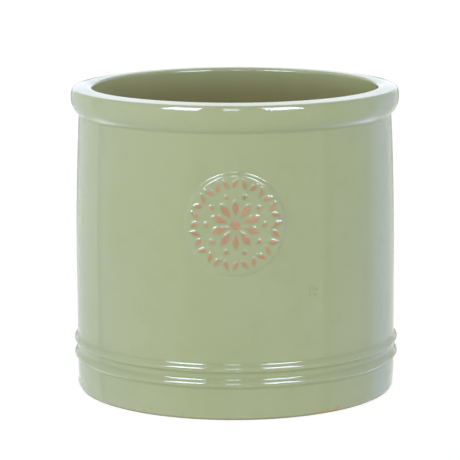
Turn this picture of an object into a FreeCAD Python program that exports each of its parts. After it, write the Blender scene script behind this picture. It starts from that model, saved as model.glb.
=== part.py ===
import FreeCAD, Part
import math
import os
import Sketcher
from types import SimpleNamespace

# A round earthenware pot with a rolled rim, two beads above its foot and an applied badge on the
# front. Clay pieces are joined wet and fired under a thin green glaze, and each is its own solid here.
# Millimetres, +Z up. The origin is the centre of the foot, on the ground, and the badge faces -Y.
# Outside sizes are over the glaze, and the clay beneath is set back by the glaze's thickness.

DIMENSIONS = (
    ("height", 205.3, "ground to the flat crown of the rim"),
    ("rim_radius", 110.0, "widest radius of the rolled rim"),
    ("rim_depth", 18.8, "crown of the rim down to its lower edge"),
    ("crown_fall", 1.0, "how far the crown falls outwards, from its flat inner ring to the shoulder"),
    ("crown_ring", 1.2, "width of the crown's flat inner ring"),
    ("rim_shoulder", 4.0, "rounding between the rim's outer face and its crown"),
    ("rim_face", 3.2, "height of the rim's upright outer face, below the shoulder"),
    ("lip_round", 5.2, "rounding between the crown and the mouth"),
    ("mouth_radius", 95.8, "inside radius of the mouth and of the whole bore"),
    ("wall_radius", 107.7, "outside radius of the straight part of the wall"),
    ("belly_height", 81.0, "where the wall starts to lean in towards the rim"),
    ("lean_radius", 1970.0, "radius of the long curve that leans the wall in"),
    ("foot_radius", 106.9, "outside radius at the ground"),
    ("foot_round", 1.2, "rounding of the foot's lower edge"),
    ("foot_height", 13.0, "height at which the foot has widened to the wall's radius"),
    ("floor_thickness", 10.0, "thickness of the base slab"),
    ("cove", 8.0, "inside rounding between wall and floor"),
    ("drain_radius", 10.0, "radius of the drain hole"),
    ("drain_margin", 1.5, "bare clay left between the inner glaze and the drain hole"),
    ("lower_bead_height", 24.0, "height of the lower bead's crest"),
    ("upper_bead_height", 34.0, "height of the upper bead's crest"),
    ("bead_half_width", 1.8, "half the height of a bead where it meets the wall"),
    ("bead_rise", 2.1, "how far a bead stands out from the wall"),
    ("bead_fillet", 1.8, "glaze pooled into the corners beside a bead"),
    ("neck_fillet", 3.0, "glaze pooled under the rim"),
    ("glaze", 0.4, "thickness of the fired glaze"),
    ("glaze_foot", 0.8, "bare clay left between the ground and the outer glaze"),
    ("badge_height", 128.0, "height of the badge's centre"),
    ("badge_radius", 32.6, "radius of the badge's disc"),
    ("badge_rise", 1.8, "how far the badge's face stands out from the wall"),
    ("relief_rise", 0.55, "how far the badge's ornament stands out of the glaze"),
    ("leaf_count", 28, "leaves in the badge's border"),
    ("leaf_inner", 23.9, "inner end of a border leaf, from the badge's centre"),
    ("leaf_outer", 28.9, "outer end of a border leaf"),
    ("leaf_slant", 2.6, "sideways run of a border leaf between its ends"),
    ("leaf_half_width", 1.2, "half the width of a border leaf"),
    ("petal_count", 10, "petals in the badge's rosette"),
    ("petal_inner", 5.2, "inner end of a petal"),
    ("petal_outer", 15.6, "outer end of a petal"),
    ("petal_half_width", 2.0, "half the width of a petal"),
    ("berry_ring_radius", 18.4, "ring on which the berries lie, one beyond each gap between petals"),
    ("berry_radius", 1.25, "radius of a berry"),
    ("boss_radius", 3.2, "radius of the boss at the rosette's centre"),
)

FULL_TURN = 360.0
FITTING = 0.001  # how closely an edge's radius and height must match to be picked
TURN_Z_TO_FRONT = FreeCAD.Rotation(FreeCAD.Vector(1, 0, 0), 90)
doc = FreeCAD.newDocument("GlazedPot")
sheet = doc.addObject("Spreadsheet::Sheet", "Sizes")


class Size:
    """A length in millimetres together with the spreadsheet formula it comes from."""

    def __init__(self, value, formula):
        self.value = value
        self.formula = formula

    def __add__(self, other):
        other = as_size(other)
        return Size(self.value + other.value, f"({self.formula} + {other.formula})")

    def __sub__(self, other):
        other = as_size(other)
        return Size(self.value - other.value, f"({self.formula} - {other.formula})")

    def __mul__(self, other):
        other = as_size(other)
        return Size(self.value * other.value, f"({self.formula} * {other.formula})")

    def __truediv__(self, other):
        other = as_size(other)
        return Size(self.value / other.value, f"({self.formula} / {other.formula})")


def as_size(number):
    if isinstance(number, Size):
        return number
    return Size(float(number), str(number))


def square_root(size):
    return Size(math.sqrt(size.value), f"sqrt({size.formula})")


def bulge_radius(rise, half_chord):
    """Radius of the arc that stands `rise` out from a chord of half-length `half_chord`."""
    return (half_chord * half_chord + rise * rise) / (rise * 2)


def fill_sheet():
    """Write the driving dimensions into the spreadsheet and hand them back as sizes."""
    sizes = {}
    for row, (alias, value, note) in enumerate(DIMENSIONS, start=1):
        sheet.set(f"A{row}", alias)
        sheet.set(f"B{row}", str(value))
        sheet.set(f"C{row}", note)
        sheet.setAlias(f"B{row}", alias)
        sizes[alias] = Size(value, f"Sizes.{alias}")
    doc.recompute()
    return SimpleNamespace(**sizes)


class Outline:
    """A closed run of lines and arcs. Corners are held by their two coordinates and arcs by radius."""

    START, END = 1, 2

    def __init__(self, x, y):
        self.corners = [(as_size(x), as_size(y))]
        self.arcs = []

    def line(self, x, y):
        self.corners.append((as_size(x), as_size(y)))
        self.arcs.append(None)
        return self

    def arc(self, x, y, radius, anticlockwise=True):
        self.corners.append((as_size(x), as_size(y)))
        self.arcs.append((as_size(radius), anticlockwise))
        return self

    def close(self):
        """Run a straight line back to the first corner."""
        self.arcs.append(None)
        return self

    def close_with_arc(self, radius, anticlockwise=True):
        self.arcs.append((as_size(radius), anticlockwise))
        return self

    def ends(self, index):
        """The vertex numbers of curve `index` at which the outline enters and leaves it."""
        arc = self.arcs[index]
        if arc is None or arc[1]:
            return self.START, self.END
        return self.END, self.START

    def curve(self, index):
        begin = vector(self.corners[index])
        end = vector(self.corners[(index + 1) % len(self.corners)])
        arc = self.arcs[index]
        if arc is None:
            return Part.LineSegment(begin, end)
        radius, anticlockwise = arc[0].value, arc[1]
        if not anticlockwise:
            begin, end = end, begin
        chord = end - begin
        to_left = FreeCAD.Vector(-chord.y, chord.x, 0).normalize()
        depth = math.sqrt(max(radius**2 - (chord.Length / 2) ** 2, 0.0))
        centre = begin + chord * 0.5 + to_left * depth
        start_angle = math.atan2(begin.y - centre.y, begin.x - centre.x)
        end_angle = math.atan2(end.y - centre.y, end.x - centre.x)
        circle = Part.Circle(centre, FreeCAD.Vector(0, 0, 1), radius)
        return Part.ArcOfCircle(circle, start_angle, end_angle)

    def draw(self, sketch):
        for index in range(len(self.arcs)):
            sketch.addGeometry(self.curve(index), False)
        for index, arc in enumerate(self.arcs):
            following = (index + 1) % len(self.arcs)
            entry = self.ends(index)[0]
            leave = self.ends(index)[1]
            next_entry = self.ends(following)[0]
            sketch.addConstraint(Sketcher.Constraint("Coincident", index, leave, following, next_entry))
            x, y = self.corners[index]
            hold(sketch, "DistanceX", index, entry, x, f"corner_{index}_x")
            hold(sketch, "DistanceY", index, entry, y, f"corner_{index}_y")
            if arc is not None:
                number = sketch.addConstraint(Sketcher.Constraint("Radius", index, arc[0].value))
                bind(sketch, number, f"radius_{index}", arc[0])


def vector(corner):
    return FreeCAD.Vector(corner[0].value, corner[1].value, 0)


def hold(sketch, kind, curve, vertex, size, name):
    """Fix one coordinate of a vertex, on the axis where it is zero and by a bound length elsewhere."""
    origin, origin_vertex = -1, 1
    axis_through_zero = {"DistanceX": -2, "DistanceY": -1}[kind]
    if size.value == 0:
        sketch.addConstraint(Sketcher.Constraint("PointOnObject", curve, vertex, axis_through_zero))
    elif size.value > 0:
        ends = (origin, origin_vertex, curve, vertex)
        bind(sketch, sketch.addConstraint(Sketcher.Constraint(kind, *ends, size.value)), name, size)
    else:
        ends = (curve, vertex, origin, origin_vertex)
        away = as_size(0) - size
        bind(sketch, sketch.addConstraint(Sketcher.Constraint(kind, *ends, away.value)), name, away)


def bind(sketch, number, name, size):
    sketch.renameConstraint(number, name)
    sketch.setExpression(f"Constraints.{name}", size.formula)


def new_sketch(body, name):
    """A sketch on the body's own XZ plane. It is seen from -Y, with x along +X and y along +Z."""
    sketch = body.newObject("Sketcher::SketchObject", name)
    plane = next(item for item in body.Origin.OriginFeatures if item.Role == "XZ_Plane")
    sketch.AttachmentSupport = (plane, [""])
    sketch.MapMode = "FlatFace"
    return sketch


def turned_body(name, outline):
    """A body turned about the pot's axis from an outline of radius and height."""
    body = doc.addObject("PartDesign::Body", name)
    sketch = new_sketch(body, f"{name}_section")
    outline.draw(sketch)
    turn = body.newObject("PartDesign::Revolution", f"{name}_turned")
    turn.Profile = sketch
    turn.ReferenceAxis = (sketch, ["V_Axis"])
    turn.Angle = FULL_TURN
    body.Tip = turn
    doc.recompute()
    return body


def boolean(kind, name, base, tool):
    result = doc.addObject(f"Part::{kind}", name)
    result.Base = base
    result.Tool = tool
    doc.recompute()
    return result


def joined(name, pieces):
    result = doc.addObject("Part::MultiFuse", name)
    result.Shapes = pieces
    doc.recompute()
    return result


# ---- the outline of the pot ----


def foot_flank(height):
    """Outside radius of the foot, which widens in a straight line from its rounding to the wall."""
    climb = (height - size.foot_round) / (size.foot_height - size.foot_round)
    return size.foot_radius + (size.wall_radius - size.foot_radius) * climb


def neck_radius():
    """Outside radius of the wall where it meets the rim."""
    climb = size.height - size.rim_depth - size.belly_height
    centre = size.wall_radius - size.lean_radius
    return centre + square_root(size.lean_radius * size.lean_radius - climb * climb)


def climb_wall(outline, growth):
    """Follow the wall, moved out by `growth`, from the belly up its long curve to the neck."""
    outline.line(size.wall_radius + growth, size.belly_height)
    outline.arc(neck_radius() + growth, size.height - size.rim_depth, size.lean_radius)


def roll_rim(outline, inset):
    """Follow the rolled rim from the neck up its flank and face to the crown's flat ring."""
    shoulder_top = size.height - size.crown_fall
    face_foot = shoulder_top - size.rim_shoulder - size.rim_face
    flank = bulge_radius(size.rim_radius - neck_radius(), face_foot - (size.height - size.rim_depth))
    outline.arc(size.rim_radius - inset, face_foot, flank)
    outline.line(size.rim_radius - inset, face_foot + size.rim_face)
    outline.arc(size.rim_radius - size.rim_shoulder, shoulder_top - inset, size.rim_shoulder - inset)
    outline.line(size.mouth_radius + size.lip_round + size.crown_ring, size.height - inset)


# ---- clay ----


def make_base_slab():
    """The floor, with its drain hole, and the rounded lower edge of the foot."""
    outline = Outline(size.drain_radius, 0)
    outline.line(size.foot_radius - size.glaze - size.foot_round, 0)
    outline.arc(size.foot_radius - size.glaze, size.foot_round, size.foot_round)
    outline.line(foot_flank(size.floor_thickness) - size.glaze, size.floor_thickness)
    outline.line(size.drain_radius, size.floor_thickness)
    return turned_body("base_slab", outline.close())


def make_wall():
    """The wall, which stands on the slab with a cove inside and ends flat under the rim."""
    bore = size.mouth_radius + size.glaze
    neck_height = size.height - size.rim_depth
    outline = Outline(bore - size.cove, size.floor_thickness)
    outline.line(foot_flank(size.floor_thickness) - size.glaze, size.floor_thickness)
    outline.line(size.wall_radius - size.glaze, size.foot_height)
    climb_wall(outline, as_size(0) - size.glaze)
    outline.line(bore, neck_height)
    outline.line(bore, size.floor_thickness + size.cove)
    return turned_body("wall_cylinder", outline.close_with_arc(size.cove, anticlockwise=False))


def make_rim():
    """The rolled rim, a ring of clay on top of the wall."""
    bore = size.mouth_radius + size.glaze
    neck_height = size.height - size.rim_depth
    outline = Outline(bore, neck_height)
    outline.line(neck_radius() - size.glaze, neck_height)
    roll_rim(outline, size.glaze)
    outline.line(size.mouth_radius + size.lip_round, size.height - size.glaze)
    outline.arc(bore, size.height - size.lip_round, size.lip_round - size.glaze)
    return turned_body("rim_band", outline.close())


def make_bead(name, centre_height):
    """A half-round coil of clay around the wall."""
    wall = size.wall_radius - size.glaze
    radius = bulge_radius(size.bead_rise, size.bead_half_width)
    outline = Outline(wall, centre_height - size.bead_half_width)
    outline.arc(wall + size.bead_rise, centre_height, radius)
    outline.arc(wall, centre_height + size.bead_half_width, radius)
    return turned_body(name, outline.close())


# ---- badge ----


def make_wall_form(name, growth):
    """A solid of the wall moved out by `growth`, used to shape what lies on the wall."""
    neck_height = size.height - size.rim_depth
    outline = Outline(0, size.foot_height)
    outline.line(size.wall_radius + growth, size.foot_height)
    climb_wall(outline, growth)
    outline.line(0, neck_height)
    return turned_body(name, outline.close())


def make_badge_disc(name, growth, height_form, wall_form):
    """A disc around the badge's centre that fills the gap between two forms of the wall."""
    plug = doc.addObject("Part::Cylinder", f"{name}_plug")
    plug.setExpression("Radius", (size.badge_radius + growth).formula)
    plug.setExpression("Height", (size.wall_radius + size.badge_rise * 2).formula)
    plug.Placement.Rotation = TURN_Z_TO_FRONT
    plug.setExpression("Placement.Base.z", size.badge_height.formula)
    doc.recompute()
    capped = boolean("Common", f"{name}_capped", plug, height_form)
    return boolean("Cut", name, capped, wall_form)


def make_relief(name, outline, count, shell):
    """`count` copies of an outline around the badge's centre, raised to the shell on the badge's face."""
    blank = doc.addObject("PartDesign::Body", f"{name}_blank")
    blank.AllowCompound = True
    sketch = new_sketch(blank, f"{name}_sketch")
    sketch.setExpression("AttachmentOffset.Base.y", size.badge_height.formula)
    outline(sketch)
    pad = blank.newObject("PartDesign::Pad", f"{name}_pad")
    pad.Profile = sketch
    pad.setExpression("Length", (size.wall_radius + size.badge_rise * 2).formula)
    blank.Tip = pad
    doc.recompute()
    if count is not None:
        pattern = blank.newObject("PartDesign::PolarPattern", f"{name}_pattern")
        pattern.Originals = [pad]
        pattern.Axis = (sketch, ["N_Axis"])
        pattern.Angle = FULL_TURN
        pattern.setExpression("Occurrences", count.formula)
        blank.Tip = pattern
        doc.recompute()
    return boolean("Common", name, blank, shell)


def leaf_outline(sketch):
    """A slanted leaf between two points, with both sides bowed out."""
    run = size.leaf_outer - size.leaf_inner
    half_length = square_root(run * run + size.leaf_slant * size.leaf_slant) / 2
    side = bulge_radius(size.leaf_half_width, half_length)
    half_slant = size.leaf_slant / 2
    outline = Outline(as_size(0) - half_slant, size.leaf_inner)
    outline.arc(half_slant, size.leaf_outer, side)
    outline.close_with_arc(side).draw(sketch)


def petal_outline(sketch):
    """A petal that points straight out from the rosette's centre."""
    side = bulge_radius(size.petal_half_width, (size.petal_outer - size.petal_inner) / 2)
    outline = Outline(0, size.petal_inner)
    outline.arc(0, size.petal_outer, side)
    outline.close_with_arc(side).draw(sketch)


def berry_outline(sketch):
    """A small round in the direction of the gap between two petals."""
    half_step = math.pi / size.petal_count.value
    place = FreeCAD.Vector(math.sin(half_step), math.cos(half_step), 0) * size.berry_ring_radius.value
    half_step_formula = f"180deg / {size.petal_count.formula}"
    across = Size(place.x, f"{size.berry_ring_radius.formula} * sin({half_step_formula})")
    up = Size(place.y, f"{size.berry_ring_radius.formula} * cos({half_step_formula})")
    draw_round(sketch, place, size.berry_radius)
    hold(sketch, "DistanceX", 0, 3, across, "centre_x")
    hold(sketch, "DistanceY", 0, 3, up, "centre_y")


def boss_outline(sketch):
    """A round on the badge's own centre."""
    draw_round(sketch, FreeCAD.Vector(0, 0, 0), size.boss_radius)
    sketch.addConstraint(Sketcher.Constraint("Coincident", 0, 3, -1, 1))


def draw_round(sketch, centre, radius):
    sketch.addGeometry(Part.Circle(centre, FreeCAD.Vector(0, 0, 1), radius.value), False)
    number = sketch.addConstraint(Sketcher.Constraint("Radius", 0, radius.value))
    bind(sketch, number, "round_radius", radius)


# ---- glaze ----


def wind_bead(outline, centre_height):
    """Follow a bead as the glaze covers it."""
    half_width = size.bead_half_width + size.glaze
    radius = bulge_radius(size.bead_rise, half_width)
    outline.line(size.wall_radius, centre_height - half_width)
    outline.arc(size.wall_radius + size.bead_rise, centre_height, radius)
    outline.arc(size.wall_radius, centre_height + half_width, radius)


def circle_edges(shape, radius, height):
    """Names of the shape's whole circles of one radius about the pot's axis at one height."""
    names = []
    for number, edge in enumerate(shape.Edges, start=1):
        if not isinstance(edge.Curve, Part.Circle):
            continue
        near_height = abs(edge.Curve.Center.z - height.value) < FITTING
        if near_height and abs(edge.Curve.Radius - radius.value) < FITTING:
            names.append(f"Edge{number}")
    return names


def pool_glaze(body, name, base, corners, radius):
    """Round off the given inside corners with the glaze that gathers there."""
    edges = [edge for corner in corners for edge in circle_edges(base.Shape, *corner)]
    fillet = body.newObject("PartDesign::Fillet", name)
    fillet.Base = (base, edges)
    fillet.setExpression("Radius", radius.formula)
    body.Tip = fillet
    doc.recompute()
    return fillet


def make_outer_glaze(clay, wall_form):
    """The coat over the foot, wall, badge and rim as far as the inner edge of the crown."""
    inner = size.mouth_radius + size.lip_round
    outline = Outline(inner, size.glaze_foot)
    outline.line(foot_flank(size.glaze_foot), size.glaze_foot)
    outline.line(size.wall_radius, size.foot_height)
    wind_bead(outline, size.lower_bead_height)
    wind_bead(outline, size.upper_bead_height)
    climb_wall(outline, as_size(0))
    roll_rim(outline, as_size(0))
    outline.line(inner, size.height)
    form = turned_body("outer_glaze_form", outline.close())

    half_width = size.bead_half_width + size.glaze
    bead_heights = (size.lower_bead_height, size.upper_bead_height)
    corners = [(size.wall_radius, height - half_width) for height in bead_heights]
    corners += [(size.wall_radius, height + half_width) for height in bead_heights]
    pooled = pool_glaze(form, "bead_pooling", form.Tip, corners, size.bead_fillet)
    neck = [(neck_radius(), size.height - size.rim_depth)]
    pool_glaze(form, "neck_pooling", pooled, neck, size.neck_fillet)

    badge_form = make_wall_form("badge_glaze_form", size.badge_rise)
    badge_cover = make_badge_disc("badge_glaze_cover", size.glaze, badge_form, wall_form)
    coated = joined("coated_form", [form, badge_cover])
    return boolean("Cut", "outer_glaze", coated, joined("clay_form", clay))


def make_inner_glaze():
    """The coat from the crown's inner edge down the bore and over the floor to the drain hole."""
    bore = size.mouth_radius + size.glaze
    floor = size.floor_thickness
    drain = size.drain_radius + size.drain_margin
    outline = Outline(drain, floor)
    outline.line(bore - size.cove, floor)
    outline.arc(bore, floor + size.cove, size.cove)
    outline.line(bore, size.height - size.lip_round)
    inner_lip = size.lip_round - size.glaze
    outline.arc(size.mouth_radius + size.lip_round, size.height - size.glaze, inner_lip, False)
    outline.line(size.mouth_radius + size.lip_round, size.height)
    outline.arc(size.mouth_radius, size.height - size.lip_round, size.lip_round)
    outline.line(size.mouth_radius, floor + size.cove)
    outline.arc(bore - size.cove, floor + size.glaze, size.cove - size.glaze, False)
    outline.line(drain, floor + size.glaze)
    return turned_body("inner_glaze", outline.close())


# ---- build, check and write ----


def check_document():
    """Stop if any object failed to recompute."""
    for item in doc.Objects:
        faults = [state for state in item.State if state in ("Invalid", "Error")]
        if faults:
            raise RuntimeError(f"{item.Name}: {faults}")


def write_pieces(pieces):
    os.makedirs("parts", exist_ok=True)
    for piece in pieces:
        shape = piece.Shape
        if shape.isNull() or not shape.isValid() or not shape.Solids:
            raise RuntimeError(f"{piece.Label} has no sound solid")
        print(f"{piece.Label}: {len(shape.Solids)} solid(s), {shape.Volume:.1f} mm3")
    for piece in pieces:
        piece.Shape.exportStep(f"parts/{piece.Label}.step")


size = fill_sheet()

wall_form = make_wall_form("wall_form", as_size(0) - size.glaze)
badge_face_form = make_wall_form("badge_face_form", size.badge_rise - size.glaze)
badge_pad = make_badge_disc("badge_pad", as_size(0), badge_face_form, wall_form)
relief_form = make_wall_form("relief_form", size.badge_rise + size.relief_rise)
relief_shell = boolean("Cut", "relief_shell", relief_form, badge_face_form)

clay_pieces = [
    make_base_slab(),
    make_wall(),
    make_rim(),
    make_bead("lower_bead", size.lower_bead_height),
    make_bead("upper_bead", size.upper_bead_height),
    badge_pad,
    make_relief("badge_leaves", leaf_outline, size.leaf_count, relief_shell),
    make_relief("badge_petals", petal_outline, size.petal_count, relief_shell),
    make_relief("badge_berries", berry_outline, size.petal_count, relief_shell),
    make_relief("badge_boss", boss_outline, None, relief_shell),
]
glaze_coats = [make_outer_glaze(clay_pieces, wall_form), make_inner_glaze()]

doc.recompute()
check_document()
write_pieces(clay_pieces + glaze_coats)
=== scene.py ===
import math
import random
import bpy
import numpy as np
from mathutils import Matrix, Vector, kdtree


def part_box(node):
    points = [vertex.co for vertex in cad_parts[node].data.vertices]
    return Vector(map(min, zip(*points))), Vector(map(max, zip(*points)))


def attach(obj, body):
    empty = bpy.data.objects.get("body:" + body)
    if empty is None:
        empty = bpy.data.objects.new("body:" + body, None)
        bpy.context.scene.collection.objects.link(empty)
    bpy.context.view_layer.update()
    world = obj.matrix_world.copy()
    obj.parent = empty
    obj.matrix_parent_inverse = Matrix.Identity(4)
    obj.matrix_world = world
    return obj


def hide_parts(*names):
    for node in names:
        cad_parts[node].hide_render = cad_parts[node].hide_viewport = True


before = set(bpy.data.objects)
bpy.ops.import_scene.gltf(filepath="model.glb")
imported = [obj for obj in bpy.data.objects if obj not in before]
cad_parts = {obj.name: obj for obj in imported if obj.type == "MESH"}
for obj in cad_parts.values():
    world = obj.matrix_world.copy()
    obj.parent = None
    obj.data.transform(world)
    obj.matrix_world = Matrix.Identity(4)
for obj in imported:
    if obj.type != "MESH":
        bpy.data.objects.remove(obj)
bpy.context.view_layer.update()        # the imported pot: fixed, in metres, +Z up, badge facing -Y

# A glazed earthenware pot. The clay pieces are the frame's own nodes with new materials. The two glaze
# coats and the badge's ornament are remade here as fine meshes, with softened edges, gathered glaze and
# the slight unevenness of a hand-finished pot. Sizes and places start from the frame.
# Angles round the pot are measured from the front (-Y) towards +X.

MM = 0.001
HAIR = 0.02 * MM
TAU = 2.0 * math.pi


# ---- sizes read from the frame ----


def node_points(node):
    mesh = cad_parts[node].data
    flat = np.empty(len(mesh.vertices) * 3, np.float32)
    mesh.vertices.foreach_get("co", flat)
    return flat.reshape(-1, 3).astype(float)


def radii(node, low=-1.0, high=1.0):
    """Smallest and largest distance from the pot's axis of a node's vertices between two heights."""
    points = node_points(node)
    band = points[(points[:, 2] >= low) & (points[:, 2] <= high)]
    distance = np.hypot(band[:, 0], band[:, 1])
    return distance.min(), distance.max()


def widest_levels(node):
    """Lowest and highest height at which a turned node reaches its largest radius."""
    points = node_points(node)
    distance = np.hypot(points[:, 0], points[:, 1])
    heights = points[distance > distance.max() - HAIR, 2]
    return heights.min(), heights.max()


def middle(node):
    low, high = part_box(node)
    return (low + high) / 2


CROWN_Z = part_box("outer_glaze")[1].z
RIM_RADIUS = radii("outer_glaze")[1]
CROWN_INNER_RADIUS = radii("inner_glaze")[1]
GLAZE = CROWN_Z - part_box("rim_band")[1].z
BORE_RADIUS = radii("rim_band")[0] - GLAZE
NECK_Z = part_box("rim_band")[0].z
NECK_RADIUS = radii("rim_band", NECK_Z - HAIR, NECK_Z + HAIR)[1] + GLAZE
FACE_Z = widest_levels("rim_band")[0]  # the foot of the rim's upright face
WALL_RADIUS = radii("wall_cylinder")[1] + GLAZE
FOOT_TOP_Z, BELLY_Z = widest_levels("wall_cylinder")
FOOT_RADIUS = radii("base_slab", 0.0, 2.0 * MM)[1] + GLAZE
GLAZE_FOOT_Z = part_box("outer_glaze")[0].z
FLOOR_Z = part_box("base_slab")[1].z
COVE = BORE_RADIUS + GLAZE - radii("wall_cylinder")[0]
DRAIN_GLAZE_RADIUS = radii("inner_glaze")[0]
BEADS = [
    (middle(node).z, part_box(node)[1].x + GLAZE - WALL_RADIUS)
    for node in ("lower_bead", "upper_bead")
]
BADGE_Z = middle("badge_pad").z
BADGE_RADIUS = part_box("badge_pad")[1].x


def wall_line(height):
    """Outside radius of the plain glazed wall: a tapered foot, an upright belly, then a slow lean in."""
    climb, lean = NECK_Z - BELLY_Z, WALL_RADIUS - NECK_RADIUS
    curve = (climb**2 + lean**2) / (2.0 * lean)
    above = np.clip(height - BELLY_Z, 0.0, climb)
    leaning = WALL_RADIUS - (curve - np.sqrt(curve**2 - above**2))
    foot = np.interp(height, [GLAZE_FOOT_Z, FOOT_TOP_Z], [FOOT_RADIUS, WALL_RADIUS])
    return np.where(height < FOOT_TOP_Z, foot, leaning)


def spread(node):
    """Smallest and largest distance from the badge's centre, unrolled on its face, of a node's vertices."""
    points = node_points(node)
    across = np.arctan2(points[:, 0], -points[:, 1]) * BADGE_FACE_RADIUS
    distance = np.hypot(across, points[:, 2] - BADGE_Z)
    return distance.min(), distance.max()


BADGE_RISE = radii("badge_pad")[1] + GLAZE - float(wall_line(BADGE_Z - BADGE_RADIUS))
BADGE_FACE_RADIUS = float(wall_line(BADGE_Z)) + BADGE_RISE
RELIEF_RISE = radii("badge_boss")[1] - BADGE_FACE_RADIUS


# ---- outlines: arrays of (radius, height), going up the outside and down the inside ----

STEP = 0.1 * MM  # spacing of the points along a dense outline
BEAD_TOP = (3.8 * MM, 1.6 * MM)  # above a bead's crest: reach to the plain wall, radius of its two bends
BEAD_FLAT = 0.6 * MM  # height of a bead's upright face, just below its crest
BEAD_UNDERSIDES = (  # the reach and the bends' radius below that face
    (2.2 * MM, 1.1 * MM),  # lower bead
    (2.5 * MM, 1.25 * MM),  # upper bead
)
CROWN_SLOPE = 10.0  # degrees the crown falls outwards
CROWN_CORNER = (2.6 * MM, 5.5 * MM)  # width and height of the rounding from the outer face to the crown
LIP_DEPTH = 2.6 * MM  # how far the inner lip rounds down into the bore
SPLIT_RADIUS = CROWN_INNER_RADIUS + 2.0 * MM  # the two glaze coats meet here, on the crown's slope
GLAZE_SOFTNESS = 0.35 * MM  # how far the glaze rounds off a corner
GLAZE_EDGE = 1.2 * MM  # height over which the coat thins out at the foot


def arc(centre, width, height, start, end, count=80):
    angles = np.radians(np.linspace(start, end, count))
    return np.column_stack([centre[0] + width * np.cos(angles), centre[1] + height * np.sin(angles)])


def step_down(gap, rise, reach, bend):
    """Height left at a distance from a raised edge: a round shoulder, a straight flank, a hollow foot."""
    lean = math.atan2(2.0 * bend - rise, reach)
    flank = math.asin(2.0 * bend / math.hypot(reach, 2.0 * bend - rise)) - lean
    turned = bend * math.sin(flank)
    gap = np.clip(gap, 0.0, reach)
    on_shoulder = rise - bend + np.sqrt(np.maximum(bend**2 - gap**2, 0.0))
    on_flank = rise - bend + bend * math.cos(flank) - (gap - turned) * math.tan(flank)
    in_hollow = bend - np.sqrt(np.maximum(bend**2 - (reach - gap) ** 2, 0.0))
    return np.where(gap < turned, on_shoulder, np.where(gap > reach - turned, in_hollow, on_flank))


def bead_bump(height):
    bump = np.zeros_like(height)
    for (crest, rise), underside in zip(BEADS, BEAD_UNDERSIDES):
        above = step_down(height - crest, rise, *BEAD_TOP)
        below = step_down(crest - BEAD_FLAT - height, rise, *underside)
        bump = np.maximum(bump, np.minimum(above, below))
    return bump


def evenly(line, step=STEP):
    """The same line with its points at equal steps."""
    run = np.concatenate([[0.0], np.cumsum(np.hypot(*np.diff(line, axis=0).T))])
    at = np.linspace(0.0, run[-1], max(2, int(run[-1] / step)))
    return np.column_stack([np.interp(at, run, line[:, k]) for k in (0, 1)])


def soften(line, reach):
    """Round off an evenly spaced line with a Gaussian, keeping its two ends in place."""
    half = int(3 * reach / STEP)
    weights = np.exp(-0.5 * (np.arange(-half, half + 1) * STEP / reach) ** 2)
    weights /= weights.sum()
    before = 2 * line[0] - line[half:0:-1]
    after = 2 * line[-1] - line[-2:-half - 2:-1]
    padded = np.vstack([before, line, after])
    return np.column_stack([np.convolve(padded[:, k], weights, mode="valid") for k in (0, 1)])


def whole_outline():
    """The whole glazed surface: foot, wall, rim, bore and floor to the edge of the drain hole."""
    edge = arc((FOOT_RADIUS - GLAZE, GLAZE_FOOT_Z + GLAZE_EDGE), GLAZE, GLAZE_EDGE, -90.0, 0.0)
    height = np.arange(GLAZE_FOOT_Z + GLAZE_EDGE, NECK_Z, STEP)
    wall = np.column_stack([wall_line(height) + bead_bump(height), height])
    climb, swell = FACE_Z - NECK_Z, RIM_RADIUS - NECK_RADIUS
    flank = (climb**2 + swell**2) / (2.0 * swell)
    sweep = math.degrees(math.asin(climb / flank))
    rim_flank = arc((RIM_RADIUS - flank, FACE_Z), flank, flank, -sweep, 0.0)
    slope = math.radians(CROWN_SLOPE)
    wide, high = CROWN_CORNER
    last = math.atan2(high, wide * math.tan(slope))  # where the rounding has turned into the crown's slope
    run = RIM_RADIUS - wide + wide * math.cos(last) - CROWN_INNER_RADIUS
    corner_z = CROWN_Z - run * math.tan(slope) - high * math.sin(last)
    crown_corner = arc((RIM_RADIUS - wide, corner_z), wide, high, 0.0, math.degrees(last))
    lip_width = CROWN_INNER_RADIUS - BORE_RADIUS
    lip = arc((CROWN_INNER_RADIUS, CROWN_Z - LIP_DEPTH), lip_width, LIP_DEPTH, 90.0, 180.0)
    cove = COVE - GLAZE
    corner = arc((BORE_RADIUS + GLAZE - COVE, FLOOR_Z + COVE), cove, cove, 0.0, -90.0)
    drain_edge = [[DRAIN_GLAZE_RADIUS, FLOOR_Z + GLAZE]]
    line = np.vstack([edge, wall, rim_flank, crown_corner, lip, corner, drain_edge])
    return soften(evenly(line), GLAZE_SOFTNESS)


def facing(line):
    """Unit normals of an outline, pointing out of the glaze."""
    tangent = np.gradient(line, axis=0)
    normal = np.column_stack([tangent[:, 1], -tangent[:, 0]])
    return normal / np.hypot(*normal.T)[:, None]


def hollowness(line):
    """Curvature of an outline in 1/m, positive in hollows where glaze gathers."""
    normal = facing(line)
    tangent = np.gradient(line, axis=0)
    length = np.hypot(*tangent.T)
    bend = np.gradient(normal, axis=0)
    curvature = -(bend * tangent).sum(axis=1) / length**2
    return soften(np.column_stack([curvature, curvature]), 0.8 * MM)[:, 0]


def graded(line, spacing):
    """Places along an evenly spaced line (as fractional indices), as far apart as spacing says."""
    gaps = spacing(line[:, 0], line[:, 1])
    run = np.concatenate([[0.0], np.cumsum(STEP / gaps[1:])])
    at = np.linspace(0.0, run[-1], int(run[-1]) + 1)
    return np.interp(at, run, np.arange(len(line)))


def at_places(values, places):
    return np.interp(places, np.arange(len(values)), values)


# ---- surface detail: how far the glaze stands off its outline ----

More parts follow.
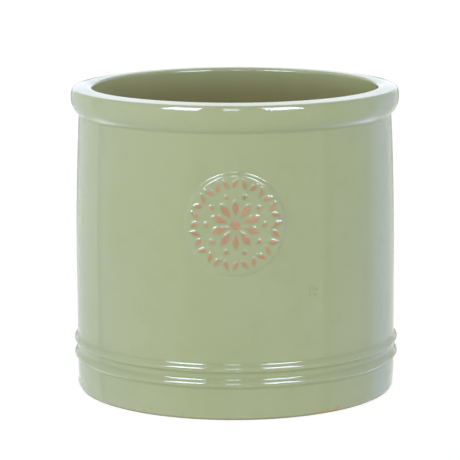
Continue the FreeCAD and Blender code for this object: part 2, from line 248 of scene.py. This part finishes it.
BADGE_EDGE = 3.4 * MM  # width over which the badge's edge falls to the wall
BADGE_EDGE_BEND = 1.5 * MM  # radius of the edge's two bends
BADGE_TOP_RADIUS = BADGE_RADIUS - BADGE_EDGE / 2
BADGE_REACH = BADGE_RADIUS + BADGE_EDGE / 2
UNEVENNESS = (  # amplitude, turns round the pot, waves up the pot, phase
    (0.08 * MM, 2, 0.7, 0.4),
    (0.05 * MM, 3, 1.3, 2.1),
    (0.02 * MM, 5, 2.9, 4.4),
)
LUMPS = (  # how far a lump stands out, its angle in degrees, its level, its half width and half height
    (0.9 * MM, -88.0, 3.6 * MM, 26.0 * MM, 1.8 * MM),
    (0.16 * MM, 11.9, CROWN_Z - 4.7 * MM, 0.9 * MM, 0.7 * MM),
    (0.10 * MM, -30.5, CROWN_Z - 6.4 * MM, 0.8 * MM, 0.8 * MM),
)
MENISCUS_RISE = 0.5 * MM  # glaze climbs the ornament's sides
MENISCUS_REACH = 0.8 * MM


def wrapped(angle):
    """The same angle between minus and plus half a turn."""
    return (angle + math.pi) % TAU - math.pi


def unevenness(angle, height):
    offset = np.zeros_like(height)
    for amplitude, turns, waves, phase in UNEVENNESS:
        offset = offset + amplitude * np.sin(turns * angle + waves * TAU * height / CROWN_Z + phase)
    for amplitude, turn, level, half_width, half_height in LUMPS:
        aside = wrapped(angle - math.radians(turn)) * RIM_RADIUS / half_width
        offset = offset + amplitude * np.exp(-aside**2 - ((height - level) / half_height) ** 2)
    return offset


def badge_swell(angle, height, ornament):
    """The badge's disc with its soft edge, and the glaze gathered round its ornament."""
    across, up = angle * BADGE_FACE_RADIUS, height - BADGE_Z
    distance = np.hypot(across, up)
    swell = step_down(distance - BADGE_TOP_RADIUS, BADGE_RISE, BADGE_EDGE, BADGE_EDGE_BEND)
    gathered = np.zeros_like(swell)
    for index in np.flatnonzero(distance < BADGE_REACH):
        gap = ornament.find((across[index], up[index], 0.0))[2]
        gathered[index] = math.exp(-((gap / MENISCUS_REACH) ** 2))
    return swell + MENISCUS_RISE * gathered, gathered


# ---- meshes ----


def new_piece(name, points, faces, stands_for, attributes=(), sharp=None):
    mesh = bpy.data.meshes.new(name)
    mesh.from_pydata(points.tolist(), [], faces)
    mesh.update()
    mesh.shade_smooth()
    for label, values in attributes:
        attribute = mesh.attributes.new(label, "FLOAT", "POINT")
        attribute.data.foreach_set("value", np.asarray(values, np.float32))
    if sharp is not None:
        ends = np.empty(len(mesh.edges) * 2, np.int32)
        mesh.edges.foreach_get("vertices", ends)
        ends = ends.reshape(-1, 2)
        flags = mesh.attributes.new("sharp_edge", "BOOLEAN", "EDGE")
        flags.data.foreach_set("value", sharp(ends[:, 0], ends[:, 1]))
    piece = bpy.data.objects.new(name, mesh)
    bpy.context.scene.collection.objects.link(piece)
    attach(piece, "root")
    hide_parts(*stands_for)
    return piece


def round_the_pot(angle, radius, height):
    return np.column_stack([radius * np.sin(angle), -radius * np.cos(angle), height])


def quads(rows, columns):
    """Faces of a grid that closes on itself in both directions."""
    row, column = np.meshgrid(np.arange(rows), np.arange(columns), indexing="ij")
    next_row, next_column = (row + 1) % rows, (column + 1) % columns
    corners = ((row, column), (row, next_column), (next_row, next_column), (next_row, column))
    return np.stack([r * columns + c for r, c in corners], axis=-1).reshape(-1, 4).tolist()


def coat(name, line, front_spacing, back_spacing, angles, swell, stands_for):
    """A closed glaze coat: a finely worked front, and a plain back against the clay."""
    columns = len(angles)
    normal = facing(line)
    hollow = hollowness(line)
    front = graded(line, front_spacing)
    back = graded(line, back_spacing)[::-1]
    places = np.concatenate([front, back])
    radius, height, out_r, out_z, gather = (
        np.repeat(at_places(values, places), columns)
        for values in (line[:, 0], line[:, 1], normal[:, 0], normal[:, 1], hollow)
    )
    angle = np.tile(angles, len(places))
    is_front = np.arange(len(angle)) < len(front) * columns
    offset, gathered = swell(angle, height)
    offset = np.where(is_front, offset + unevenness(angle, height), -GLAZE)
    points = round_the_pot(angle, radius + offset * out_r, height + offset * out_z)
    last_front = len(front) - 1
    cap_rows = (0, last_front, last_front + 1, len(places) - 1)

    def on_cap(first, second):
        row = first // columns
        return (row == second // columns) & np.isin(row, cap_rows)

    faces = quads(len(places), columns)
    attributes = (("hollow", gather), ("gathered", gathered * is_front))
    return new_piece(name, points, faces, stands_for, attributes, on_cap)


# ---- the badge's ornament: flat outlines round the badge's centre ----

LEAF_COUNT = 28
LEAF_HALF_WIDTH = 1.35 * MM
LEAF_SLANT = 2.6 * MM
PETAL_COUNT = 10
PETAL_HALF_WIDTH = 2.1 * MM
SIDES = 40


def leaf_shape(length, half_width, fullness):
    """A closed outline along +X from 0 to length, pointed at the far end, widest near fullness."""
    turn = np.linspace(0.0, TAU, SIDES, endpoint=False)
    along = 0.5 - 0.5 * np.cos(turn)
    skewed = along ** (math.log(0.5) / math.log(fullness))
    width = half_width * np.abs(np.sin(math.pi * skewed)) ** 0.85
    return np.column_stack([length * along, width * np.sign(np.sin(turn))])


def disc_shape(radius):
    turn = np.linspace(0.0, TAU, SIDES, endpoint=False)
    return np.column_stack([radius * np.cos(turn), radius * np.sin(turn)])


def set_out(shape, start, end):
    """Lay a shape drawn along +X between two points of the badge."""
    start, end = np.array(start), np.array(end)
    direction = (end - start) / np.hypot(*(end - start))
    side = np.array([-direction[1], direction[0]])
    return start + shape[:, :1] * direction + shape[:, 1:] * side


def polar(turn, distance):
    return np.array([distance * math.sin(turn), distance * math.cos(turn)])


def worn(outline, dice, amount=0.05):
    """The same outline with the small irregularities of a pressed and wiped relief."""
    centre = outline.mean(axis=0)
    turn = np.linspace(0.0, TAU, len(outline), endpoint=False)
    stretch = np.full(len(outline), 1.0 + dice.uniform(-amount, amount))
    for waves in (2, 3, 5):
        stretch += dice.uniform(-amount, amount) / waves * np.sin(waves * turn + dice.uniform(0.0, TAU))
    nudge = np.array([dice.uniform(-0.12, 0.12), dice.uniform(-0.12, 0.12)]) * MM
    return centre + nudge + (outline - centre) * stretch[:, None]


def leaf_outlines(dice):
    inner, outer = spread("badge_leaves")
    for index in range(LEAF_COUNT):
        turn = TAU * index / LEAF_COUNT
        lean = 0.5 * LEAF_SLANT * (-1) ** index / inner
        start, end = polar(turn - lean, inner), polar(turn + lean, outer)
        shape = leaf_shape(np.hypot(*(end - start)), LEAF_HALF_WIDTH, 0.42)
        yield worn(set_out(shape, start, end), dice)


def petal_outlines(dice):
    inner, outer = spread("badge_petals")
    for index in range(PETAL_COUNT):
        turn = TAU * index / PETAL_COUNT
        shape = leaf_shape(outer - inner, PETAL_HALF_WIDTH, 0.6)
        yield worn(set_out(shape, polar(turn, inner), polar(turn, outer)), dice)


def berry_outlines(dice):
    inner, outer = spread("badge_berries")
    for index in range(PETAL_COUNT):
        turn = TAU * (index + 0.5) / PETAL_COUNT
        yield worn(polar(turn, (inner + outer) / 2) + disc_shape((outer - inner) / 2), dice)


def boss_outlines(dice):
    yield worn(disc_shape(spread("badge_boss")[1]), dice, 0.02)


PILLOW = (  # rings of a raised shape: share of its outline, share of its rise, how rubbed it is
    (1.05, -0.9, 0.0),
    (1.04, 0.0, 0.0),
    (0.99, 0.42, 0.1),
    (0.92, 0.72, 0.6),
    (0.80, 0.90, 1.0),
    (0.60, 0.98, 1.0),
    (0.30, 1.0, 1.0),
)


def relief(name, node, outlines, dice):
    """Soft raised shapes on the badge's face, all in one piece."""
    points, faces, rub, wear = [], [], [], []
    for outline in outlines:
        base = len(points)
        centre = outline.mean(axis=0)
        wear_here = dice.uniform(0.0, 1.0)
        for share, rise, rubbed in PILLOW:
            ring = centre + (outline - centre) * share
            points += [(across, up, rise * RELIEF_RISE) for across, up in ring]
            rub += [rubbed] * SIDES
            wear += [wear_here] * SIDES
        rings = len(PILLOW)
        for ring in range(rings - 1):
            for side in range(SIDES):
                here, along = base + ring * SIDES + side, base + ring * SIDES + (side + 1) % SIDES
                faces.append((here, here + SIDES, along + SIDES, along))
        faces.append(tuple(range(base, base + SIDES)))
        faces.append(tuple(reversed(range(base + (rings - 1) * SIDES, base + rings * SIDES))))
    across, up, out = np.array(points).T
    angle, height = across / BADGE_FACE_RADIUS, up + BADGE_Z
    radius = wall_line(height) + BADGE_RISE + out + unevenness(angle, height)
    points = round_the_pot(angle, radius, height)
    return new_piece(name, points, faces, [node], (("rub", rub), ("wear", wear)))


# ---- materials ----


def put(tree, kind, inputs=None, **settings):
    """A shader node with its settings made and its inputs set or joined."""
    made = tree.nodes.new(kind)
    for key, value in settings.items():
        setattr(made, key, value)
    for key, value in (inputs or {}).items():
        if isinstance(value, bpy.types.NodeSocket):
            tree.links.new(value, made.inputs[key])
        else:
            made.inputs[key].default_value = value
    return made


def calculate(tree, operation, *values):
    return put(tree, "ShaderNodeMath", dict(enumerate(values)), operation=operation).outputs[0]


def ramp(tree, value, start, end, low=0.0, high=1.0):
    """A smooth rise of value from start to end."""
    inputs = {"Value": value, "From Min": start, "From Max": end, "To Min": low, "To Max": high}
    return put(tree, "ShaderNodeMapRange", inputs, interpolation_type="SMOOTHSTEP").outputs[0]


def ramp_line(tree, value, start, end):
    return put(tree, "ShaderNodeMapRange", {"Value": value, "From Min": start, "From Max": end}).outputs[0]


def blend(tree, factor, first, second):
    made = tree.nodes.new("ShaderNodeMix")
    made.data_type = "RGBA"
    for key, value in ((0, factor), (6, first), (7, second)):
        if isinstance(value, bpy.types.NodeSocket):
            tree.links.new(value, made.inputs[key])
        else:
            made.inputs[key].default_value = value
    return made.outputs[2]


def noise(tree, place, scale, detail=2.0, roughness=0.5):
    inputs = {"Vector": place, "Scale": scale, "Detail": detail, "Roughness": roughness}
    return put(tree, "ShaderNodeTexNoise", inputs).outputs[0]


def attribute(tree, name):
    return put(tree, "ShaderNodeAttribute", attribute_name=name).outputs["Fac"]


def near(tree, place, point, reach):
    """One at a point, falling to nothing at reach from it."""
    gap = put(tree, "ShaderNodeVectorMath", {0: place, 1: point}, operation="DISTANCE").outputs["Value"]
    return ramp(tree, gap, reach, 0.25 * reach)


GREEN = (0.405, 0.462, 0.268, 1.0)
GREEN_PALE = (0.425, 0.478, 0.290, 1.0)
GREEN_DEEP = (0.330, 0.380, 0.200, 1.0)
OLIVE_STAIN = (0.340, 0.350, 0.200, 1.0)
TERRACOTTA = (0.440, 0.250, 0.135, 1.0)
TERRACOTTA_PALE = (0.490, 0.300, 0.175, 1.0)
TERRACOTTA_DARK = (0.300, 0.155, 0.085, 1.0)
# a dark grey-brown for the painted contact shade and dirt at the foot
FOOT_SHADE_AND_GRIME = (0.250, 0.240, 0.150, 1.0)
# a darker brown-green for painted shade deep in the bore
GREEN_BROWN_SHADE = (0.400, 0.375, 0.195, 1.0)
SPECK_ORANGE = (0.560, 0.330, 0.130, 1.0)


def new_material(name):
    material = bpy.data.materials.new(name)
    material.use_nodes = True
    tree = material.node_tree
    tree.nodes.clear()
    shader = put(tree, "ShaderNodeBsdfPrincipled")
    output = put(tree, "ShaderNodeOutputMaterial")
    tree.links.new(shader.outputs[0], output.inputs["Surface"])
    place = put(tree, "ShaderNodeTexCoord").outputs["Object"]
    return material, tree, shader, place


def clay_colour(tree, place):
    """Fired earthenware: pale and dark patches, with fine dark grains."""
    patches = noise(tree, place, 45.0, 4.0)
    grains = noise(tree, place, 1400.0, 2.0, 0.7)
    colour = blend(tree, ramp(tree, patches, 0.35, 0.65), TERRACOTTA, TERRACOTTA_PALE)
    return blend(tree, ramp(tree, grains, 0.62, 0.74, 0.0, 0.6), colour, TERRACOTTA_DARK)


def clay_bump(tree, place, normal=None):
    pits = noise(tree, place, 900.0, 5.0, 0.65)
    inputs = {"Height": pits, "Distance": 0.25 * MM, "Strength": 0.5}
    if normal is not None:
        inputs["Normal"] = normal
    return put(tree, "ShaderNodeBump", inputs).outputs[0]


RING_RATE = 2600.0  # radians of the ring pattern per metre
RING_WANDER = 2.0 * MM
SHADE_AND_GRIME_WIDTH = 2.0 * MM  # how far the painted contact shade and dirt reach in under the foot
FOOT_SHADE_AND_DIRT_Z = 0.9 * MM  # below this height the foot is darkened all over with painted contact shade and dirt


def clay_material(name):
    """Bare clay, with the fine rings left by turning, and the foot's outer edge darkened with painted
    contact shade and dirt.
    """
    material, tree, shader, place = new_material(name)
    x, y, z = put(tree, "ShaderNodeSeparateXYZ", {0: place}).outputs
    squares = calculate(tree, "ADD", calculate(tree, "MULTIPLY", x, x), calculate(tree, "MULTIPLY", y, y))
    distance = calculate(tree, "SQRT", squares)
    along = calculate(tree, "ADD", distance, z)
    wander = calculate(tree, "MULTIPLY", noise(tree, place, 20.0), RING_WANDER)
    phase = calculate(tree, "MULTIPLY", calculate(tree, "ADD", along, wander), RING_RATE)
    rings = calculate(tree, "SINE", phase)
    ringed = put(tree, "ShaderNodeBump", {"Height": rings, "Distance": 0.06 * MM, "Strength": 0.35})
    # painted contact shade and dirt: the clay's outer foot edge darkens towards the floor
    low = ramp(tree, z, 2.2 * MM, FOOT_SHADE_AND_DIRT_Z, 0.0, 0.9)
    outer = ramp(tree, distance, FOOT_RADIUS - 1.5 * MM - SHADE_AND_GRIME_WIDTH, FOOT_RADIUS - 1.5 * MM)
    shade_and_grime = calculate(tree, "MULTIPLY", low, outer)
    colour = blend(tree, shade_and_grime, clay_colour(tree, place), FOOT_SHADE_AND_GRIME)
    tree.links.new(colour, shader.inputs["Base Color"])
    tree.links.new(clay_bump(tree, place, ringed.outputs[0]), shader.inputs["Normal"])
    shader.inputs["Roughness"].default_value = 0.82
    return material


def green_colour(tree, place):
    """Celadon-like glaze with soft, slow changes of depth."""
    slow = noise(tree, place, 9.0, 2.0)
    mottle = noise(tree, place, 70.0, 3.0)
    colour = blend(tree, ramp(tree, slow, 0.3, 0.7), GREEN, GREEN_PALE)
    return blend(tree, ramp(tree, mottle, 0.45, 0.8, 0.0, 0.18), colour, GREEN_DEEP)


STAIN = (27.6, 82.0 * MM, 6.0 * MM)  # angle in degrees, height and reach of a faint stain on the wall
BARE_SPECKS = (  # angle in degrees, height and reach of the places near the foot where clay shows through
    (-31.0, 4.6 * MM, 1.3 * MM),
    (-29.2, 5.6 * MM, 0.8 * MM),
    (-18.8, 2.6 * MM, 1.4 * MM),
    (29.0, 0.5 * MM, 3.0 * MM),
    (31.5, 0.5 * MM, 3.6 * MM),
    (34.0, 0.5 * MM, 3.6 * MM),
    (36.5, 0.5 * MM, 3.2 * MM),
    (38.2, 2.4 * MM, 2.6 * MM),
)


def on_wall(turn, height):
    radius = float(wall_line(height))
    return (radius * math.sin(math.radians(turn)), -radius * math.cos(math.radians(turn)), height)


def pooled_colour(tree, place):
    """The green glaze, deeper where it gathers in hollows and round the ornament."""
    hollow = ramp(tree, attribute(tree, "hollow"), 60.0, 420.0, 0.0, 0.55)
    colour = blend(tree, hollow, green_colour(tree, place), GREEN_DEEP)
    gathered = calculate(tree, "MULTIPLY", attribute(tree, "gathered"), 0.35)
    return blend(tree, gathered, colour, GREEN_DEEP)


def outside_colour(tree, place):
    """The outside glaze: a faint stain on the wall, bare specks and a thin edge at the foot darkened with
    painted contact shade and dirt.
    """
    height = put(tree, "ShaderNodeSeparateXYZ", {0: place}).outputs[2]
    colour = pooled_colour(tree, place)
    turn, level, reach = STAIN
    blotches = ramp(tree, noise(tree, place, 260.0, 4.0), 0.4, 0.62, 0.0, 0.75)
    stain = calculate(tree, "MULTIPLY", near(tree, place, on_wall(turn, level), reach), blotches)
    colour = blend(tree, stain, colour, OLIVE_STAIN)
    ragged = ramp(tree, noise(tree, place, 900.0, 2.0), 0.30, 0.55, 0.15, 0.85)
    for turn, level, reach in BARE_SPECKS:
        bare = calculate(tree, "MULTIPLY", near(tree, place, on_wall(turn, level), reach), ragged)
        colour = blend(tree, bare, colour, SPECK_ORANGE)
    # painted contact shade and dirt: the glaze darkens towards the foot
    foot_shade_and_grime = ramp(tree, height, 1.8 * MM, FOOT_SHADE_AND_DIRT_Z, 0.0, 0.6)
    return blend(tree, foot_shade_and_grime, colour, FOOT_SHADE_AND_GRIME)


def inside_colour(tree, place):
    """The inside glaze, darker and browner further down the bore: painted shade."""
    height = put(tree, "ShaderNodeSeparateXYZ", {0: place}).outputs[2]
    # painted shade: the glaze darkens and browns further down the bore
    bore_shade = ramp_line(tree, height, CROWN_Z - 3.0 * MM, CROWN_Z - 26.0 * MM)
    return blend(tree, bore_shade, pooled_colour(tree, place), GREEN_BROWN_SHADE)


def glaze_material(name, colour_of):
    """Glossy glaze with slow ripples and a fine skin."""
    material, tree, shader, place = new_material(name)
    tree.links.new(colour_of(tree, place), shader.inputs["Base Color"])
    ripple = noise(tree, place, 55.0, 1.0)
    peel = noise(tree, place, 380.0, 1.0)
    slow = {"Height": ripple, "Distance": 0.012 * MM, "Strength": 1.0}
    rippled = put(tree, "ShaderNodeBump", slow).outputs[0]
    fine = {"Height": peel, "Distance": 0.003 * MM, "Strength": 1.0, "Normal": rippled}
    tree.links.new(put(tree, "ShaderNodeBump", fine).outputs[0], shader.inputs["Normal"])
    smudges = noise(tree, place, 30.0, 3.0)
    tree.links.new(ramp(tree, smudges, 0.3, 0.75, 0.015, 0.045), shader.inputs["Roughness"])
    shader.inputs["IOR"].default_value = 1.5
    return material


def relief_material(name):
    """Raised clay with the glaze wiped off its top and left round its foot."""
    material, tree, shader, place = new_material(name)
    worn_glaze = noise(tree, place, 700.0, 3.0)
    kept = calculate(tree, "ADD", attribute(tree, "rub"), calculate(tree, "MULTIPLY", worn_glaze, 0.5))
    kept = calculate(tree, "SUBTRACT", kept, calculate(tree, "MULTIPLY", attribute(tree, "wear"), 0.25))
    bare = ramp(tree, kept, 0.45, 0.8)
    colour = blend(tree, bare, GREEN_DEEP, clay_colour(tree, place))
    tree.links.new(colour, shader.inputs["Base Color"])
    tree.links.new(ramp(tree, bare, 0.0, 1.0, 0.08, 0.6), shader.inputs["Roughness"])
    tree.links.new(clay_bump(tree, place), shader.inputs["Normal"])
    return material


def finish_with(piece, material):
    piece.data.materials.clear()
    piece.data.materials.append(material)


# ---- the studio ----

CAMERA_DISTANCE = 1.6686  # in front of the pot's axis
CAMERA_HEIGHT = 0.4066
CAMERA_PITCH = math.radians(10.231)
CAMERA_ROLL = math.radians(-0.22)
CAMERA_LENS = 195.7  # mm on a 36 mm sensor
CAMERA_SHIFT = -0.0117
FLOOR_SIZE = 9.0


def place_camera():
    data = bpy.data.cameras.new("camera")
    data.sensor_width = 36.0
    data.lens = CAMERA_LENS
    data.shift_x = CAMERA_SHIFT
    camera = bpy.data.objects.new("camera", data)
    bpy.context.scene.collection.objects.link(camera)
    camera.rotation_mode = "ZXY"  # roll about its own axis, then tip down
    camera.location = (0.0, -CAMERA_DISTANCE, CAMERA_HEIGHT)
    camera.rotation_euler = (math.pi / 2 - CAMERA_PITCH, 0.0, CAMERA_ROLL)
    bpy.context.scene.camera = camera


def lay_floor():
    """A wide pale sheet just under the foot, almost evenly white from above, and clear from below."""
    mesh = bpy.data.meshes.new("floor")
    turn = np.linspace(0.0, TAU, 96, endpoint=False)
    rim = np.column_stack([FLOOR_SIZE * np.cos(turn), FLOOR_SIZE * np.sin(turn), np.full(len(turn), -HAIR)])
    mesh.from_pydata(rim.tolist(), [], [tuple(range(len(turn)))])
    floor = bpy.data.objects.new("floor", mesh)
    bpy.context.scene.collection.objects.link(floor)
    floor.visible_glossy = False
    material = bpy.data.materials.new("pale sheet")
    material.use_nodes = True
    tree = material.node_tree
    tree.nodes.clear()
    lit = put(tree, "ShaderNodeBsdfDiffuse", {"Color": (0.25, 0.25, 0.25, 1.0)})
    lit_low = put(tree, "ShaderNodeEmission", {"Color": (1.0, 1.0, 1.0, 1.0), "Strength": 0.7})
    glow = put(tree, "ShaderNodeEmission", {"Color": (1.0, 1.0, 1.0, 1.0), "Strength": 0.86})
    shown = put(tree, "ShaderNodeAddShader", {0: lit.outputs[0], 1: glow.outputs[0]})
    rays = put(tree, "ShaderNodeLightPath")
    mixed = put(tree, "ShaderNodeMixShader", {0: rays.outputs["Is Camera Ray"], 1: lit_low.outputs[0],
                                              2: shown.outputs[0]})
    clear = put(tree, "ShaderNodeBsdfTransparent")
    below = put(tree, "ShaderNodeNewGeometry").outputs["Backfacing"]
    sheet = put(tree, "ShaderNodeMixShader", {0: below, 1: mixed.outputs[0], 2: clear.outputs[0]})
    put(tree, "ShaderNodeOutputMaterial", {"Surface": sheet.outputs[0]})
    mesh.materials.append(material)


def patch(tree, azimuth, elevation, centre, width, low, high, soft):
    """One inside a rectangle of directions, in degrees, with soft edges."""
    aside = calculate(tree, "ABSOLUTE", calculate(tree, "SUBTRACT", azimuth, centre))
    inside = ramp(tree, aside, width / 2 + soft, width / 2 - soft)
    above = ramp(tree, elevation, low - soft, low + soft)
    below = ramp(tree, elevation, high + soft, high - soft)
    return calculate(tree, "MULTIPLY", inside, calculate(tree, "MULTIPLY", above, below))


def build_surround():
    """The studio round the pot: even light for shading, a tent and softboxes for reflections."""
    world = bpy.data.worlds.new("studio")
    bpy.context.scene.world = world
    world.use_nodes = True
    tree = world.node_tree
    tree.nodes.clear()
    direction = put(tree, "ShaderNodeTexCoord").outputs["Generated"]
    x, y, z = put(tree, "ShaderNodeSeparateXYZ", {0: direction}).outputs
    degrees = 360.0 / TAU
    bearing = calculate(tree, "ARCTAN2", x, calculate(tree, "MULTIPLY", y, -1.0))
    azimuth = calculate(tree, "MULTIPLY", bearing, degrees)
    elevation = calculate(tree, "MULTIPLY", calculate(tree, "ARCSINE", z), degrees)

    # reflections
    around = put(tree, "ShaderNodeValToRGB", {"Fac": ramp_line(tree, azimuth, -180.0, 180.0)})
    while len(around.color_ramp.elements) > 1:
        around.color_ramp.elements.remove(around.color_ramp.elements[-1])
    stops = around.color_ramp.elements
    for index, (turn, colour) in enumerate(SURROUND):
        stop = stops[0] if index == 0 else stops.new((turn + 180.0) / 360.0)
        stop.color = (*colour, 1.0)
    strength = TENT_STRENGTH
    turned = calculate(tree, "ABSOLUTE", azimuth)
    for first, full, start, end, gain in BACKDROP:
        behind = ramp(tree, turned, first, full)
        band = calculate(tree, "MULTIPLY", behind, ramp(tree, elevation, start, end))
        strength = calculate(tree, "ADD", strength, calculate(tree, "MULTIPLY", band, gain))
    tent = put(tree, "ShaderNodeBackground", {"Color": around.outputs[0], "Strength": strength})
    power = 0.0
    for centre, width, low, high, glare in SOFTBOXES:
        box = patch(tree, azimuth, elevation, centre, width, low, high, 1.0)
        power = calculate(tree, "ADD", power, calculate(tree, "MULTIPLY", box, glare))
    boxes = put(tree, "ShaderNodeBackground", {"Color": SOFTBOX_COLOUR, "Strength": power})
    reflected = put(tree, "ShaderNodeAddShader", {0: tent.outputs[0], 1: boxes.outputs[0]})

    # shading
    overhead = ramp(tree, elevation, 3.0, 11.0, LIGHT_LOW, LIGHT_HIGH)
    sideways = calculate(tree, "ADD", 1.0, calculate(tree, "MULTIPLY", x, LIGHT_LEAN))
    even = calculate(tree, "MULTIPLY", overhead, sideways)
    shading = put(tree, "ShaderNodeBackground", {"Color": (1.0, 1.0, 1.0, 1.0), "Strength": even})

    rays = put(tree, "ShaderNodeLightPath")
    lit = put(tree, "ShaderNodeMixShader", {0: rays.outputs["Is Glossy Ray"], 1: shading.outputs[0],
                                            2: reflected.outputs[0]})
    white = put(tree, "ShaderNodeBackground", {"Color": (1.0, 1.0, 1.0, 1.0), "Strength": 1.0})
    seen = put(tree, "ShaderNodeMixShader", {0: rays.outputs["Is Camera Ray"], 1: lit.outputs[0],
                                             2: white.outputs[0]})
    put(tree, "ShaderNodeOutputWorld", {"Surface": seen.outputs[0]})
    world.cycles.sampling_method = "NONE"


SOFTBOXES = (  # azimuth, width, lowest and highest elevation in degrees, strength
    (-40.0, 28.0, 20.0, 50.0, 16.0),
    (36.5, 28.0, 20.0, 50.0, 16.0),
    (-2.3, 12.0, 22.0, 47.0, 7.0),
    (-180.0, 50.0, 1.0, 70.0, 0.45),  # a cool glow behind the pot, in two halves
    (180.0, 50.0, 1.0, 70.0, 0.45),
)
SOFTBOX_COLOUR = (0.92, 1.02, 1.42, 1.0)
TENT_STRENGTH = 2.0
SURROUND = (  # the tent's colour at each azimuth, in degrees
    (-180.0, (0.43, 0.45, 0.48)),
    (-160.0, (0.43, 0.45, 0.48)),
    (-128.0, (0.43, 0.45, 0.57)),
    (-117.8, (0.50, 0.51, 0.67)),
    (-117.0, (0.20, 0.21, 0.32)),
    (-109.0, (0.38, 0.40, 0.58)),
    (-63.0, (0.42, 0.43, 0.48)),
    (-40.0, (0.40, 0.40, 0.38)),
    (-25.0, (0.22, 0.20, 0.20)),
    (45.0, (0.15, 0.13, 0.15)),
    (64.0, (0.24, 0.20, 0.32)),
    (68.4, (0.0, 0.0, 0.01)),
    (72.0, (0.0, 0.0, 0.01)),
    (75.0, (0.08, 0.08, 0.22)),
    (112.0, (0.15, 0.15, 0.40)),
    (121.0, (0.30, 0.33, 0.66)),
    (134.0, (0.33, 0.36, 0.70)),
    (147.0, (0.38, 0.40, 0.52)),
    (160.0, (0.43, 0.45, 0.46)),
    (180.0, (0.43, 0.45, 0.48)),
)
# Changes in the tent's strength behind the pot: the turn from the front and the elevation over which each
# change comes in, in degrees, and its size.
BACKDROP = (
    (155.0, 165.0, -12.0, -8.0, -0.75),
    (155.0, 165.0, -3.0, 6.0, 1.15),
    (155.0, 165.0, 9.0, 26.0, 2.1),
    (155.0, 165.0, 38.0, 62.0, -3.4),
    (120.0, 158.0, -25.0, -37.0, 4.0),
)
LIGHT_LOW = 3.6  # strength of the shading light near the horizon
LIGHT_HIGH = 0.68  # and overhead
LIGHT_LEAN = -0.15  # share by which it grows towards +X


# ---- build the pot ----

FINE = 0.5 * MM  # spacing over the badge, where the glaze has the finest shapes
COARSE_TURN = math.radians(3.0)


def column_angles():
    reach = (BADGE_REACH + 2.0 * MM) / BADGE_FACE_RADIUS
    fine = np.linspace(-reach, reach, int(2 * reach * BADGE_FACE_RADIUS / FINE))
    rest = TAU - 2 * reach
    coarse = np.linspace(reach, reach + rest, int(rest / COARSE_TURN) + 1)[1:-1]
    return np.concatenate([fine, coarse])


def outside_spacing(radius, height):
    (lowest, _), (highest, _) = BEADS
    spacing = np.full(len(height), 3.2 * MM)
    spacing[height < highest + 8.0 * MM] = 0.55 * MM
    spacing[height < lowest - 7.0 * MM] = 1.3 * MM
    spacing[height < GLAZE_FOOT_Z + 2.0 * MM] = 0.3 * MM
    spacing[np.abs(height - BADGE_Z) < BADGE_REACH + 1.0 * MM] = FINE
    spacing[height > NECK_Z - 4.0 * MM] = 0.65 * MM
    return spacing


def inside_spacing(radius, height):
    spacing = np.full(len(height), 3.5 * MM)
    spacing[height > CROWN_Z - 8.0 * MM] = 0.5 * MM
    spacing[(height < FLOOR_Z + COVE + 2.0 * MM) & (radius > BORE_RADIUS - COVE - 2.0 * MM)] = 1.2 * MM
    spacing[radius < DRAIN_GLAZE_RADIUS + 1.5 * MM] = 0.3 * MM
    return spacing


def back_of(spacing):
    return lambda radius, height: np.clip(2.8 * spacing(radius, height), 1.5 * MM, 9.0 * MM)


dice = random.Random(28)
groups = (
    ("badge_leaves_relief", "badge_leaves", list(leaf_outlines(dice))),
    ("badge_petals_relief", "badge_petals", list(petal_outlines(dice))),
    ("badge_berries_relief", "badge_berries", list(berry_outlines(dice))),
    ("badge_boss_relief", "badge_boss", list(boss_outlines(dice))),
)
edge_points = [point for _, _, outlines in groups for outline in outlines for point in outline]
ornament = kdtree.KDTree(len(edge_points))
for index, point in enumerate(edge_points):
    ornament.insert((point[0], point[1], 0.0), index)
ornament.balance()

outline = whole_outline()
split = int(np.argmax((outline[:, 1] > CROWN_Z - MM) & (outline[:, 0] < SPLIT_RADIUS)))
angles = column_angles()


def outside_swell(angle, height):
    return badge_swell(wrapped(angle), height, ornament)


def no_swell(angle, height):
    return np.zeros_like(height), np.zeros_like(height)


outer = coat("outer_glaze_coat", outline[:split + 1], outside_spacing, back_of(outside_spacing), angles,
             outside_swell, ["outer_glaze", "badge_pad"])
inner = coat("inner_glaze_coat", outline[split:], inside_spacing, back_of(inside_spacing), angles,
             no_swell, ["inner_glaze"])
clay = clay_material("fired clay")
bare_relief = relief_material("wiped relief")
finish_with(outer, glaze_material("green glaze", outside_colour))
finish_with(inner, glaze_material("inside glaze with painted shade", inside_colour))
for name, node, outlines in groups:
    finish_with(relief(name, node, outlines, dice), bare_relief)
for node in ("base_slab", "wall_cylinder", "rim_band", "lower_bead", "upper_bead"):
    finish_with(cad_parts[node], clay)

lay_floor()
build_surround()
place_camera()
bpy.context.scene.view_settings.view_transform = "Standard"
